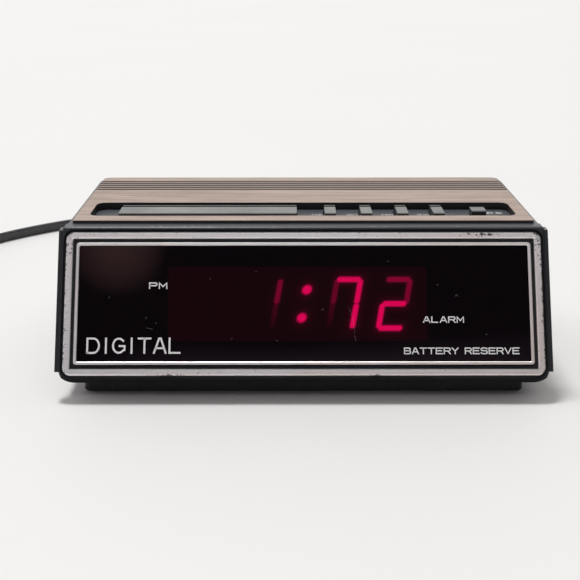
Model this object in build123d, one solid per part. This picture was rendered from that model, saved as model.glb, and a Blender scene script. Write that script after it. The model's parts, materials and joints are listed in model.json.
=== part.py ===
"""LED alarm clock with a leaning display front, a wood-grain top and a mains cord, in millimetres.

+X is to the right as seen from the front, the front faces -Y, and +Z is up. The origin is on the
surface that the clock stands on, under the middle of the clock itself, without its cord.
"""

from build123d import *

import os
from math import cos, radians, sin, tan

# ---- driving dimensions ------------------------------------------------------------------------
WIDTH = 193.0              # across the front frame's side rails
FRONT_Y, REAR_Y = -60.0, 61.0
TOP_Z = 64.0               # top of the wood panel
LEAN = 27.0                # how far the front leans back from vertical, degrees

WALL = 2.2                 # moulded walls
CASE_HALF = 94.2           # half width of the case behind the frame
CASE_EDGE = 0.8            # rounding of the deck's side edges
LIP_CORNER = 6.0           # rounding of the lower side edges of the frame and the case
DECK_Z = TOP_Z - 1.2       # flat black deck that the wood panel stands proud of
LIP_Z = 7.0                # underside of the case, above the recessed pedestal
PARTING_Z = 24.0           # upper and lower case meet here
REAR_TOP_Y = REAR_Y - 2.5  # the rear wall leans in towards the deck
REAR_CORNER = 4.0
VENT_LOW, VENT_HIGH = 34, 50
CASE_SCREW_X, CASE_SCREW_YS, CASE_SCREW_Z = 78.0, (-23.0, 42.0), 14.0

PEDESTAL_LOW = 0.6         # gap under the pedestal, which stands on rubber feet
PEDESTAL_HALF = 87.0
PEDESTAL_FRONT_Y = -51.0
PEDESTAL_REAR_Y = 50.0
PEDESTAL_CORNER = 3.5
FOOT_HIGH, FOOT_WIDE = 1.4, 9.0
LABEL_X, LABEL_Y, LABEL_HALF_X, LABEL_HALF_Y = -8.0, 20.0, 25.0, 12.0

FRAME_THICK = 5.0
FRAME_HALF = 95.0          # half width of the frame between its side rails
CHIN_Z = 10.0              # below this height the front turns back under itself
CHIN_SINK = 1.6
RAIL_LOW, RAIL_HIGH = 11.5, 61.5
FACE_MID_Z = 35.4
FACE_MID_Y = FRONT_Y + (FACE_MID_Z - CHIN_Z) * tan(radians(LEAN))

BAND_WIDTH, BAND_HEIGHT, BAND_CORNER, BAND_STRIP = 186.6, 56.6, 3.0, 2.6
LINE_WIDTH, LINE_HEIGHT, LINE_CORNER, LINE_STRIP = 178.6, 48.3, 1.2, 1.2
GROOVE = 1.0               # dark groove between the frame's rim and the band
BAND_SHIFT = 0.35          # the trims and lens sit this far above the middle of the leaning face

PANEL_HALF = 92.2
PANEL_FRONT_Y, PANEL_REAR_Y = -27.4, 57.4
PANEL_SINK = 1.0           # how deep the wood panel sits in the deck
VENT_GROOVES = 5
VENT_PITCH = 4.42
VENT_WIDTH = 1.7
VENT_LAST_Y = 48.6

WELL_HALF = 87.0           # recess for the keys
WELL_FRONT_Y, WELL_REAR_Y = -19.2, 4.6
WELL_FLOOR_Z = TOP_Z - 3.0
WELL_THICK = 2.0
WELL_CORNER = 4.0

SNOOZE_MID_X, SNOOZE_WIDTH = -39.0, 73.0
KEY_NAMES = ("time_set_key", "alarm_set_key", "fast_set_key", "slow_set_key")
KEY_FIRST_X, KEY_PITCH = 11.3, 14.83
KEY_WIDTH, KEY_DEEP, KEY_MID_Y = 4.6, 16.2, -7.6
KEY_STRIP = 4.6            # ribbed strip along the rear of each key's top, with its groove
KEY_GROOVE = 1.4
KEY_TOP_Z = TOP_Z + 0.3
KEY_TRAVEL = 1.5
KEY_GAP = 0.3              # clearance round each key in its opening
FLANGE_THICK = 1.2
FLANGE_REST_GAP = 0.2
SWITCH_X = 73.1
SWITCH_TRAVEL = 4.0
KNOB_MID_Y, KNOB_HALF_DEEP, KNOB_HALF_WIDTH = -5.8, 3.8, 3.0

BOARD_THICK = 1.6
KEY_BOARD_TOP_Z = 51.6
FLANGE_Z = WELL_FLOOR_Z - WELL_THICK - FLANGE_REST_GAP - FLANGE_THICK

DIGIT_HEIGHT, DIGIT_WIDTH, SEGMENT = 21.6, 11.5, 2.2
DIGIT_SLANT = 10.5
DIGIT_SHIFT = 0.8          # middle of the digits above the middle of the leaning face
HOUR_TENS_X, HOUR_ONES_X, COLON_X, MINUTE_TENS_X, MINUTE_ONES_X = -34.9, -15.4, 0.3, 16.2, 35.8
MODULE_MID_X, MODULE_WIDTH, MODULE_HEIGHT = -2.4, 102.0, 29.6
LENS_BACK = 2.5            # back of the lens behind the face plane
MODULE_FRONT, MODULE_BACK = 5.6, 11.6
CARRIER_WIDTH, CARRIER_HEIGHT, CARRIER_BACK = 176.0, 45.0, 6.6

MAIN_BOARD_TOP_Z = 15.6
MAIN_BOARD_X, MAIN_BOARD_Y = (-38.0, 22.0), (-38.0, 44.0)
TRANSFORMER_X, TRANSFORMER_Y = -63.0, 20.0
SOUNDER_X, SOUNDER_Y = -56.0, -22.0
BATTERY_X, BATTERY_FRONT_Y, BATTERY_REAR_Y = 50.0, -32.0, 28.0
DOOR_HALF, DOOR_TRAVEL = 17.0, 56.0
CORD_WIDE = 5.6            # across both conductors
CORD_EXIT = (-60.0, REAR_Y, 16.0)
RELIEF_REACH = 23.0        # how far the strain relief stands out of the rear wall

# The cord's route over the table behind the clock, chosen by hand. It leaves the rear wall, comes
# down to the table, turns back on itself to the left and ends where the coil begins.
CORD_LIE_Z = CORD_WIDE / 2
CORD_ROUTE = (
    (-60.0, REAR_Y + RELIEF_REACH, 16.0),
    (-59.5, REAR_Y + 38.0, 14.6),
    (-58.0, REAR_Y + 60.0, 7.6),
    (-54.0, REAR_Y + 88.0, CORD_LIE_Z),
    (-52.0, REAR_Y + 116.0, CORD_LIE_Z),
    (-59.0, REAR_Y + 146.0, CORD_LIE_Z),
    (-81.0, REAR_Y + 166.0, CORD_LIE_Z),
    (-111.0, REAR_Y + 169.0, CORD_LIE_Z),
    (-138.0, REAR_Y + 155.5, CORD_LIE_Z),
    (-159.0, REAR_Y + 138.0, CORD_LIE_Z),
    (-177.0, REAR_Y + 118.0, CORD_LIE_Z),
    (-192.0, REAR_Y + 94.0, CORD_LIE_Z),
)
COIL_MID = (-222.0, REAR_Y + 108.0)
COIL_RADIUS = 31.0         # to the middle of the bundle of turns
COIL_BUNDLE_HALF = 6.1
COIL_HIGH = 11.6
PLUG_X = COIL_MID[0] - COIL_RADIUS - 2.0
PLUG_REAR_Y = COIL_MID[1] + 28.0
PLUG_LONG = 22.0

FACE = Plane(
    origin=(0, FACE_MID_Y, FACE_MID_Z),
    x_dir=(1, 0, 0),
    z_dir=(0, -cos(radians(LEAN)), sin(radians(LEAN))),
)


# ---- shared shapes -----------------------------------------------------------------------------
def block(x0, x1, y0, y1, z0, z1):
    """A box from its two corners."""
    return Pos((x0 + x1) / 2, (y0 + y1) / 2, (z0 + z1) / 2) * Box(x1 - x0, y1 - y0, z1 - z0)


def post(x, y, z0, z1, diameter):
    """An upright cylinder."""
    return Pos(x, y, (z0 + z1) / 2) * Cylinder(diameter / 2, z1 - z0)


def upright(shape):
    """The shape's edges that run along Z."""
    return shape.edges().filter_by(Axis.Z)


def slab(x0, x1, y0, y1, z0, z1, corner):
    """A box with rounded upright corners."""
    shape = block(x0, x1, y0, y1, z0, z1)
    return fillet(upright(shape), corner)


def on_face(shape):
    """A shape drawn flat, with its local +Z as the face's outward normal, put on the leaning face."""
    return FACE * shape


def face_block(x, up, width, height, back, front, corner=0.0):
    """A rounded block on the leaning face, between two depths measured outwards from it."""
    outline = RectangleRounded(width, height, corner) if corner else Rectangle(width, height)
    return Pos(x, up, back) * extrude(outline, front - back)


def face_ring(width, height, strip, corner, back, front):
    """A rounded rectangular ring on the leaning face."""
    inner_corner = max(corner - strip, 0.5)
    outer = face_block(0, BAND_SHIFT, width, height, back, front, corner)
    return outer - face_block(
        0, BAND_SHIFT, width - 2 * strip, height - 2 * strip, back - 1, front + 1, inner_corner
    )


def face_y(z, behind=0.0):
    """Where the plane that lies that far behind the leaning face is at height z."""
    return FACE_MID_Y + behind / cos(radians(LEAN)) + (z - FACE_MID_Z) * tan(radians(LEAN))


def side_profile(points, half):
    """A side outline, as (y, z) points, carried across from -half to +half along X."""
    outline = Plane.YZ * Polygon(*points, align=None)
    return Pos(-half, 0, 0) * extrude(outline, 2 * half, dir=(1, 0, 0))


def screw(x, y, z_head, length, shank=2.6, head=5.2):
    """A pan-head screw driven upwards, its head's underside at z_head, with a cross recess."""
    body = post(x, y, z_head - 1.6, z_head, head) + post(x, y, z_head, z_head + length, shank)
    for turn in (0, 90):
        body -= Pos(x, y, z_head - 1.3) * Rot(0, 0, turn) * Box(3.0, 0.7, 0.8)
    return body


def coil_spring(x, y, z0, z1, radius, wire, turns):
    """A helical compression spring with its middle line from z0 to z1, less the wire itself."""
    height = z1 - z0 - wire
    path = Helix(height / turns, height, radius)
    ring = Plane(path @ 0, z_dir=path % 0) * Circle(wire / 2)
    return Pos(x, y, z0 + wire / 2) * sweep(ring, path=path, is_frenet=True)


def joined(shapes):
    """Separate solids kept in one node."""
    return Compound(children=[solid for shape in shapes for solid in shape.solids()])


# ---- case --------------------------------------------------------------------------------------
def case_block(half, inset, z0, z1):
    """The case's outer block, or its hollow when inset, between two heights."""
    back = FRAME_THICK if inset == 0 else FRAME_THICK - 1

    def rear(z):
        lean = (REAR_Y - REAR_TOP_Y) * (z - PARTING_Z) / (DECK_Z - PARTING_Z)
        return REAR_Y - max(lean, 0) - inset

    middle = [PARTING_Z] if z0 < PARTING_Z < z1 else []
    rear_points = [(rear(z), z) for z in [z0, *middle, z1]]
    front_points = [(face_y(z1, back), z1), (face_y(z0, back), z0)]
    return side_profile(rear_points + front_points, half)


def rear_vents():
    """Upright slots through the upper part of the rear wall."""
    return [
        block(x - 1, x + 1, REAR_Y - 8, REAR_Y + 1, VENT_LOW, VENT_HIGH) for x in range(-66, 67, 6)
    ]


def corner_places():
    """Where the case screws are, near the four corners."""
    return [(x, y) for x in (-CASE_SCREW_X, CASE_SCREW_X) for y in CASE_SCREW_YS]


def side_edges(shape, z):
    """The shape's long edges along its two sides at height z, in the YZ plane."""
    level = shape.edges().filter_by(Axis.Y)
    half = max(abs(edge.center().X) for edge in level)
    return [
        edge for edge in level
        if abs(edge.center().Z - z) < 0.01 and abs(abs(edge.center().X) - half) < 0.01
    ]


def key_openings():
    """Openings in the floor of the key recess for the snooze bar, the keys and the switch's stem."""
    cuts = [key_hole(SNOOZE_MID_X, KEY_MID_Y, SNOOZE_WIDTH, KEY_DEEP)]
    cuts += [key_hole(x, KEY_MID_Y, KEY_WIDTH, KEY_DEEP) for x in key_places()]
    cuts.append(key_hole(SWITCH_X, KEY_MID_Y, 2.0 + SWITCH_TRAVEL, 3.0))
    return cuts


def key_places():
    return [KEY_FIRST_X + number * KEY_PITCH for number in range(len(KEY_NAMES))]


def key_hole(x, y, width, deep):
    grown = KEY_GAP * 2
    return block(
        x - (width + grown) / 2, x + (width + grown) / 2,
        y - (deep + grown) / 2, y + (deep + grown) / 2,
        WELL_FLOOR_Z - WELL_THICK - 1, WELL_FLOOR_Z + 1,
    )


def upper_case():
    """Top and side walls, with the key recess, the seat for the wood panel and the rear vents."""
    shell = case_block(CASE_HALF, 0, PARTING_Z, DECK_Z)
    shell = fillet(upright_rear_edges(shell), REAR_CORNER)
    shell = fillet(side_edges(shell, DECK_Z), CASE_EDGE)
    shell -= case_block(CASE_HALF - WALL, WALL, PARTING_Z - 1, DECK_Z - PANEL_SINK - WALL)
    tray_half = WELL_HALF + WALL
    shell += block(
        -tray_half, tray_half, WELL_FRONT_Y - WALL, WELL_REAR_Y + WALL,
        WELL_FLOOR_Z - WELL_THICK, DECK_Z - PANEL_SINK - 0.5,
    )
    shell -= panel_blank(0.1)
    shell -= slab(
        -WELL_HALF, WELL_HALF, WELL_FRONT_Y, WELL_REAR_Y, WELL_FLOOR_Z, DECK_Z + 1, WELL_CORNER,
    )
    for cut in key_openings() + rear_vents():
        shell -= cut
    for x, y in corner_places():
        shell += post(x, y, PARTING_Z + 1, DECK_Z - PANEL_SINK - 0.5, 7.0)
        shell -= post(x, y, PARTING_Z, 50, 2.8)
    for x, y in key_board_bosses():
        shell += post(x, y, KEY_BOARD_TOP_Z, WELL_FLOOR_Z - 1, 5.0)
        shell -= post(x, y, KEY_BOARD_TOP_Z - 1, WELL_FLOOR_Z - WELL_THICK - 1, 1.9)
    return shell


def upright_rear_edges(shell):
    """The two long edges where the rear wall meets the sides."""
    rear = shell.faces().filter_by(GeomType.PLANE).sort_by(Axis.Y)[-1]
    return [edge for edge in rear.edges() if abs(abs(edge.center().X) - CASE_HALF) < 0.01]


def lower_case():
    """The base tray: underside, low side walls, hollow pedestal, battery bay and board bosses."""
    tray = case_block(CASE_HALF, 0, LIP_Z, PARTING_Z)
    tray = fillet(upright_rear_edges(tray), REAR_CORNER)
    tray = fillet(side_edges(tray, LIP_Z), LIP_CORNER)
    hollow = case_block(CASE_HALF - WALL, WALL, LIP_Z + WALL, PARTING_Z + 1)
    tray -= fillet(side_edges(hollow, LIP_Z + WALL), LIP_CORNER - WALL)
    tray += slab(
        -PEDESTAL_HALF, PEDESTAL_HALF, PEDESTAL_FRONT_Y, PEDESTAL_REAR_Y, PEDESTAL_LOW, LIP_Z + 1,
        PEDESTAL_CORNER,
    )
    tray -= slab(
        -PEDESTAL_HALF + WALL, PEDESTAL_HALF - WALL, PEDESTAL_FRONT_Y + WALL,
        PEDESTAL_REAR_Y - WALL, PEDESTAL_LOW + WALL, LIP_Z + WALL + 1, PEDESTAL_CORNER - WALL,
    )
    tray += battery_box()
    tray -= door_track()
    tray -= battery_hollow()
    for x, y in corner_places():
        tray += post(x, y, PEDESTAL_LOW, PARTING_Z + 0.9, 8.0)
        tray -= post(x, y, 0, PARTING_Z + 2, 3.0)
        tray -= post(x, y, 0, CASE_SCREW_Z, 6.0)
    for x, y in main_board_bosses():
        tray += post(x, y, 2, MAIN_BOARD_TOP_Z - BOARD_THICK, 6.0)
        tray -= post(x, y, 4, MAIN_BOARD_TOP_Z, 1.9)
    for x, y in foot_places():
        tray -= post(x, y, 0, FOOT_HIGH, FOOT_WIDE + 0.4)
    exit_x, _, exit_z = CORD_EXIT
    tray -= Pos(exit_x, REAR_Y, exit_z) * Rot(90, 0, 0) * Cylinder(4.2, 12)
    return tray - label(0.2)


def label(grown):
    """The rating plate on the underside, or its recess when grown a little."""
    half_x, half_y = LABEL_HALF_X + grown, LABEL_HALF_Y + grown
    low = 0 if grown else 0.5
    return block(LABEL_X - half_x, LABEL_X + half_x, LABEL_Y - half_y, LABEL_Y + half_y, low, 0.9)


def foot_places():
    return [(x, y) for x in (-64, 20) for y in (-42, 41)] + [(75, -42), (76, 28)]


def main_board_bosses():
    return [(x, y) for x in (-34, 18) for y in (-34, 40)]


def key_board_bosses():
    return [(x, y) for x in (-80, 3.8, 83) for y in (-14, 1)]


def battery_box():
    """Walls and lid of the bay for a nine-volt block battery, standing on the pedestal's floor."""
    half = DOOR_HALF + 1.4 + WALL
    front, rear = BATTERY_FRONT_Y - WALL, BATTERY_REAR_Y + WALL
    track = block(BATTERY_X - half, BATTERY_X + half, front, PEDESTAL_REAR_Y, PEDESTAL_LOW, 5.2)
    walls = block(
        BATTERY_X - DOOR_HALF - WALL + 2, BATTERY_X + DOOR_HALF + WALL - 2, front, rear,
        PEDESTAL_LOW, PARTING_Z
    )
    return track + walls


def door_track():
    """The recess that the battery door slides in, open at the pedestal's rear, and its grooves."""
    half = DOOR_HALF
    recess = block(
        BATTERY_X - half - 0.2, BATTERY_X + half + 0.2, BATTERY_FRONT_Y, PEDESTAL_REAR_Y + 1,
        0, 3.0,
    )
    grooves = block(
        BATTERY_X - half - 1.4, BATTERY_X + half + 1.4, BATTERY_FRONT_Y, PEDESTAL_REAR_Y + 1,
        1.7, 3.0,
    )
    return recess + grooves


def battery_hollow():
    half = DOOR_HALF - 2
    return block(
        BATTERY_X - half, BATTERY_X + half, BATTERY_FRONT_Y, BATTERY_REAR_Y, 2.5, 22.0
    )


def battery_door():
    """Sliding door with side tongues, a finger grip and a shallow inner rib."""
    half, low, high = DOOR_HALF, 1.0, 2.7
    door = block(
        BATTERY_X - half, BATTERY_X + half, BATTERY_FRONT_Y + 0.3, PEDESTAL_REAR_Y, low, high
    )
    door += block(
        BATTERY_X - half - 1.1, BATTERY_X + half + 1.1, BATTERY_FRONT_Y + 0.3,
        PEDESTAL_REAR_Y - 0.5, 2.0, high,
    )
    for number in range(4):
        y = PEDESTAL_REAR_Y - 8 - number * 2.4
        door -= block(BATTERY_X - 9, BATTERY_X + 9, y - 0.6, y + 0.6, low - 1, low + 0.5)
    return door


def panel_blank(grown):
    """The wood panel before it is pierced, or its seat in the deck when grown a little."""
    blank = block(
        -PANEL_HALF - grown, PANEL_HALF + grown, PANEL_FRONT_Y - grown, PANEL_REAR_Y + grown,
        DECK_Z - PANEL_SINK, TOP_Z,
    )
    rear = [edge for edge in upright(blank) if edge.center().Y > 0]
    blank = fillet(rear, 3.5)
    front = [edge for edge in upright(blank) if edge.center().Y < PANEL_FRONT_Y + 1]
    return fillet(front, 0.8)


def wood_panel():
    """Raised top panel with the key slot, rounded rear corners and five decorative grooves."""
    panel = panel_blank(0)
    panel -= slab(
        -WELL_HALF, WELL_HALF, WELL_FRONT_Y, WELL_REAR_Y, DECK_Z - PANEL_SINK - 1, TOP_Z + 1,
        WELL_CORNER,
    )
    for number in range(VENT_GROOVES):
        y = VENT_LAST_Y - number * VENT_PITCH
        panel -= block(
            -WIDTH, WIDTH, y - VENT_WIDTH / 2, y + VENT_WIDTH / 2, TOP_Z - 1.1, TOP_Z + 1
        )
    return panel


# ---- front -------------------------------------------------------------------------------------
def frame_body():
    """The leaning slab, whose chin turns back under it, with rounded lower corners."""
    slab_points = [
        (face_y(CHIN_Z), CHIN_Z),
        (face_y(DECK_Z), DECK_Z),
        (face_y(DECK_Z, FRAME_THICK), DECK_Z),
        (face_y(LIP_Z, FRAME_THICK), LIP_Z),
        (face_y(CHIN_Z) + CHIN_SINK, LIP_Z),
    ]
    body = side_profile(slab_points, FRAME_HALF)
    outline = Plane.XZ * Pos(0, (DECK_Z + LIP_Z) / 2) * Rectangle(2 * FRAME_HALF, DECK_Z - LIP_Z)
    corners = outline.vertices().sort_by(Axis.Z)
    outline = fillet(corners[:2], LIP_CORNER)
    outline = fillet(outline.vertices().sort_by(Axis.Z)[-2:], 1.0)
    body &= extrude(outline, 2 * WIDTH, both=True)
    leaning = [face for face in body.faces() if face.normal_at().dot(FACE.z_dir) > 0.999]
    return chamfer(leaning[0].edges(), 0.5)


def side_rails():
    """Flat rails that stand a little proud of both sides between the frame's corners."""
    rail_points = [
        (face_y(RAIL_LOW, 0.6), RAIL_LOW),
        (face_y(RAIL_HIGH, 0.6), RAIL_HIGH),
        (face_y(RAIL_HIGH, FRAME_THICK), RAIL_HIGH),
        (face_y(RAIL_LOW, FRAME_THICK), RAIL_LOW),
    ]
    inner = FRAME_HALF - 1
    return side_profile(rail_points, WIDTH / 2) - block(-inner, inner, FRONT_Y, REAR_Y, 0, TOP_Z)


def front_frame():
    """The black frame: a leaning slab with side rails, seats for both trims and a window."""
    frame = frame_body() + side_rails()
    frame -= on_face(
        face_block(
            0, BAND_SHIFT, BAND_WIDTH + 2 * GROOVE, BAND_HEIGHT + 2 * GROOVE, -1.3, 3,
            BAND_CORNER + GROOVE,
        )
    )
    frame -= on_face(
        face_block(0, BAND_SHIFT, LINE_WIDTH + 0.2, LINE_HEIGHT + 0.2, -LENS_BACK, 3, LINE_CORNER)
    )
    window_width, window_height = LINE_WIDTH - 8, LINE_HEIGHT - 8
    frame -= on_face(
        face_block(0, BAND_SHIFT, window_width, window_height, -2 * FRAME_THICK, 3, 1.0)
    )
    return frame


def outer_trim():
    """Wide silver band round the front, bevelled on its outer and inner edges."""
    ring = face_ring(BAND_WIDTH, BAND_HEIGHT, BAND_STRIP, BAND_CORNER, -1.3, 0.5)
    return on_face(chamfer(ring.faces().sort_by(Axis.Z)[-1].edges(), 0.4))


def inner_trim():
    """Narrow silver line that holds the lens in the frame."""
    ring = face_ring(LINE_WIDTH, LINE_HEIGHT, LINE_STRIP, LINE_CORNER, -0.5, 0.3)
    return on_face(chamfer(ring.faces().sort_by(Axis.Z)[-1].edges(), 0.25))


def lens():
    """Dark red window over the whole front."""
    return on_face(
        face_block(0, BAND_SHIFT, LINE_WIDTH, LINE_HEIGHT, -LENS_BACK, -0.5, LINE_CORNER)
    )


# ---- display -----------------------------------------------------------------------------------
def bar(x, up, length, angle):
    """One segment of a digit: a flat bar with pointed ends, in the digit's unslanted frame."""
    half, tip = length / 2, SEGMENT / 2
    outline = Polygon(
        (-half, 0), (-half + tip, tip), (half - tip, tip), (half, 0), (half - tip, -tip),
        (-half + tip, -tip), align=None,
    )
    return Pos(x, up) * Rot(0, 0, angle) * outline


def segments():
    """The seven segments by their usual letters, about the digit's middle."""
    side, quarter = (DIGIT_WIDTH - SEGMENT) / 2, (DIGIT_HEIGHT - SEGMENT) / 4
    long, tall = 2 * side - 0.35, 2 * quarter - 0.35
    return {
        "a": bar(0, 2 * quarter, long, 0),
        "b": bar(side, quarter, tall, 90),
        "c": bar(side, -quarter, tall, 90),
        "d": bar(0, -2 * quarter, long, 0),
        "e": bar(-side, -quarter, tall, 90),
        "f": bar(-side, quarter, tall, 90),
        "g": bar(0, 0, long, 0),
    }


def slanted(outline, x):
    """The outline leaned to the right about the digits' middle line, and moved to x."""
    lean = tan(radians(DIGIT_SLANT))
    points = [(v.X + v.Y * lean + x, v.Y + DIGIT_SHIFT) for v in outline.vertices()]
    middle_x = sum(p[0] for p in points) / len(points)
    middle_y = sum(p[1] for p in points) / len(points)
    return sorted(points, key=lambda p: turn_of(p[0] - middle_x, p[1] - middle_y))


def turn_of(x, y):
    """A number that grows with the direction of (x, y) round a full turn."""
    return Vector(1, 0).get_signed_angle(Vector(x, y))


def digit(x, letters="abcdefg"):
    """Light guides of one digit, from the board to just in front of the reflector."""
    depth = MODULE_BACK - MODULE_FRONT + 0.1
    shapes = segments()
    guides = []
    for name in letters:
        outline = Polygon(*slanted(shapes[name], x), align=None)
        guides.append(Pos(0, 0, -MODULE_BACK) * extrude(outline, depth, dir=(0, 0, 1)))
    return joined([on_face(guide) for guide in guides])


def dots(places, radius):
    depth = MODULE_BACK - MODULE_FRONT + 0.1
    return joined(
        [on_face(Pos(x, up, -MODULE_BACK) * extrude(Circle(radius), depth)) for x, up in places]
    )


def colon():
    """Two round dots in line with the digits' slant."""
    rise = 5.6
    lean = rise * tan(radians(DIGIT_SLANT))
    return dots([(COLON_X + lean, DIGIT_SHIFT + rise), (COLON_X - lean, DIGIT_SHIFT - rise)], 1.9)


def indicators():
    """Afternoon dot on the left and alarm dot on the right of the digits."""
    return dots([(-49.0, 7.4), (45.0, -7.6)], 1.3)


def reflector(lights):
    """Dark block that keeps the light guides apart, pierced for each of them."""
    body = face_block(
        MODULE_MID_X, DIGIT_SHIFT, MODULE_WIDTH, MODULE_HEIGHT, -MODULE_BACK, -MODULE_FRONT, 1.0
    )
    body = on_face(body)
    for light in lights:
        for solid in light.solids():
            body -= solid
    return body


def display_board():
    board = face_block(MODULE_MID_X, DIGIT_SHIFT, 126, 36, -MODULE_BACK - BOARD_THICK,
                       -MODULE_BACK, 1.0)
    for x, up in display_screw_places():
        board -= Pos(x, up, -MODULE_BACK) * Cylinder(1.5, 6)
    return on_face(board)


def display_screw_places():
    return [(MODULE_MID_X + x, DIGIT_SHIFT + up) for x in (-58, 58) for up in (-13, 13)]


def display_screws():
    screws = []
    for x, up in display_screw_places():
        back = -MODULE_BACK - BOARD_THICK
        body = Pos(x, up, back - 0.8) * Cylinder(2.4, 1.6)
        body += Pos(x, up, back + 2.4) * Cylinder(1.0, 4.8)
        screws.append(on_face(body))
    return joined(screws)


def display_mask():
    """Black carrier behind the frame, closed but for the display, with posts for its board."""
    carrier = face_block(0, BAND_SHIFT, CARRIER_WIDTH, CARRIER_HEIGHT, -CARRIER_BACK, -FRAME_THICK)
    carrier -= face_block(
        MODULE_MID_X, DIGIT_SHIFT, MODULE_WIDTH + 0.4, MODULE_HEIGHT + 0.4, -20, 0
    )
    length = MODULE_BACK - CARRIER_BACK
    for x, up in display_screw_places():
        carrier += Pos(x, up, -CARRIER_BACK - length / 2) * Cylinder(3.0, length)
        carrier -= Pos(x, up, -MODULE_BACK) * Cylinder(1.0, 2 * length - 1)
    return on_face(carrier)


# ---- keys --------------------------------------------------------------------------------------
def cap_profile(width, deep, top, base):
    """A key's side outline: a strip that falls to the rear, a groove, then the flat to press on."""
    rear, front = deep / 2, -deep / 2
    step = rear - KEY_STRIP
    strip = step + KEY_GROOVE
    flat, heel, groove = top - 0.1, top - 0.5, top - 1.1
    return side_profile(
        [
            (rear, base), (rear, heel), (strip, top), (strip, groove), (step, groove),
            (step, flat - 0.2), (step - 0.2, flat), (front + 0.4, flat), (front, flat - 0.4),
            (front, base),
        ],
        width / 2,
    )


def sprung_key(x, y, width, deep, stems):
    """A cap through the recess floor, with a retaining flange and a stem for each spring."""
    base = FLANGE_Z + FLANGE_THICK
    key = Pos(x, y, 0) * cap_profile(width, deep, KEY_TOP_Z, base)
    key += block(
        x - width / 2 - 1.0, x + width / 2 + 1.0, y - deep / 2 - 1.0, y + deep / 2 + 1.0,
        FLANGE_Z, base,
    )
    for stem_x in stems:
        key += post(stem_x, y, pill_top(), FLANGE_Z, 2.4)
    return key


def pill_top():
    return KEY_BOARD_TOP_Z + KEY_TRAVEL + 0.9


def contact_pills(y, stems):
    """Conductive pill on the foot of each stem, one travel above its pad."""
    return joined([post(x, y, pill_top() - 0.8, pill_top(), 2.4) for x in stems])


def key_springs(y, stems):
    return joined(
        [coil_spring(x, y, KEY_BOARD_TOP_Z, FLANGE_Z, 2.0, 0.35, 4.0) for x in stems]
    )


def switch_knob():
    """Slide switch knob: a cap over the slot in the recess floor and a stem down to the switch."""
    low, top, half = WELL_FLOOR_Z + 0.3, TOP_Z - 0.3, KNOB_HALF_DEEP
    cap = Pos(SWITCH_X, KNOB_MID_Y, 0) * side_profile(
        [(half, low), (half, top - 0.4), (half - 0.4, top), (0.4 - half, top), (-half, top - 0.4),
         (-half, low)],
        KNOB_HALF_WIDTH,
    )
    stem = block(
        SWITCH_X - 1, SWITCH_X + 1, KEY_MID_Y - 1.4, KEY_MID_Y + 1.4, KEY_BOARD_TOP_Z + 3.6, low
    )
    return cap + stem


def switch_body():
    """Slide switch on the key board, with the slot that its lever runs in."""
    body = block(
        SWITCH_X - 6, SWITCH_X + 6, KEY_MID_Y - 3.4, KEY_MID_Y + 3.4, KEY_BOARD_TOP_Z,
        KEY_BOARD_TOP_Z + 5.2,
    )
    return body - block(
        SWITCH_X - 4, SWITCH_X + 4, KEY_MID_Y - 1.7, KEY_MID_Y + 1.7, KEY_BOARD_TOP_Z + 3.2,
        KEY_BOARD_TOP_Z + 6,
    )


def key_board():
    low = KEY_BOARD_TOP_Z - BOARD_THICK
    board = block(-85, 86, WELL_FRONT_Y + 1.5, WELL_REAR_Y, low, KEY_BOARD_TOP_Z)
    for x, y in key_board_bosses():
        board -= post(x, y, low - 1, KEY_BOARD_TOP_Z + 1, 2.6)
    return board


# ---- boards and power --------------------------------------------------------------------------
def main_board():
    low = MAIN_BOARD_TOP_Z - BOARD_THICK
    board = block(*MAIN_BOARD_X, *MAIN_BOARD_Y, low, MAIN_BOARD_TOP_Z)
    for x, y in main_board_bosses():
        board -= post(x, y, low - 1, MAIN_BOARD_TOP_Z + 1, 2.6)
    return board


def clock_chip():
    """Dual-in-line clock chip with its two rows of legs."""
    top = MAIN_BOARD_TOP_Z
    body = block(-28, 10, -14, 0, top + 0.8, top + 4.6)
    body -= post(-27.6, -7, top + 3.6, top + 5, 3.0)
    for number in range(14):
        x = -25.5 + number * 2.54
        for y in (-14.6, 0.6):
            body += block(x - 0.25, x + 0.25, y - 0.8, y + 0.8, top, top + 2.2)
    return body


def capacitors():
    """Upright electrolytic capacitors with a pressed cross on top."""
    shapes = []
    for x, y, diameter, high in ((-28, 24, 13, 22), (-12, 26, 10, 16), (2, 26, 8, 12), (14, 10, 6, 9)):
        can = post(x, y, MAIN_BOARD_TOP_Z, MAIN_BOARD_TOP_Z + high, diameter)
        can -= Pos(x, y, MAIN_BOARD_TOP_Z + high) * Box(diameter * 0.6, 0.4, 0.4)
        can -= Pos(x, y, MAIN_BOARD_TOP_Z + high) * Box(0.4, diameter * 0.6, 0.4)
        shapes.append(can)
    return joined(shapes)


def lying_parts(places, radius, length):
    """Small axial parts lying across the board, with their leads."""
    shapes = []
    for x, y in places:
        z = MAIN_BOARD_TOP_Z + radius + 0.4
        part = Pos(x, y, z) * Rot(90, 0, 0) * Cylinder(radius, length)
        part += Pos(x, y, z) * Rot(90, 0, 0) * Cylinder(0.3, length + 3)
        for end in (-1, 1):
            part += post(x, y + end * (length / 2 + 1.5), MAIN_BOARD_TOP_Z, z + 0.3, 0.6)
        shapes.append(part)
    return joined(shapes)


def transformer_core():
    """Stacked iron core with a window each side of its middle leg."""
    x, y, low, high = TRANSFORMER_X, TRANSFORMER_Y, PEDESTAL_LOW + WALL, 34
    core = block(x - 17, x + 17, y - 8, y + 8, low, high)
    for window_x in (x - 8.5, x + 8.5):
        core -= block(window_x - 3.5, window_x + 3.5, y - 9, y + 9, low + 5.7, high - 5.5)
    return core


def transformer_coil():
    x, y = TRANSFORMER_X, TRANSFORMER_Y
    return block(x - 11.8, x + 11.8, y - 14, y + 14, 8.7, 28.3) - transformer_core()


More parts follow.
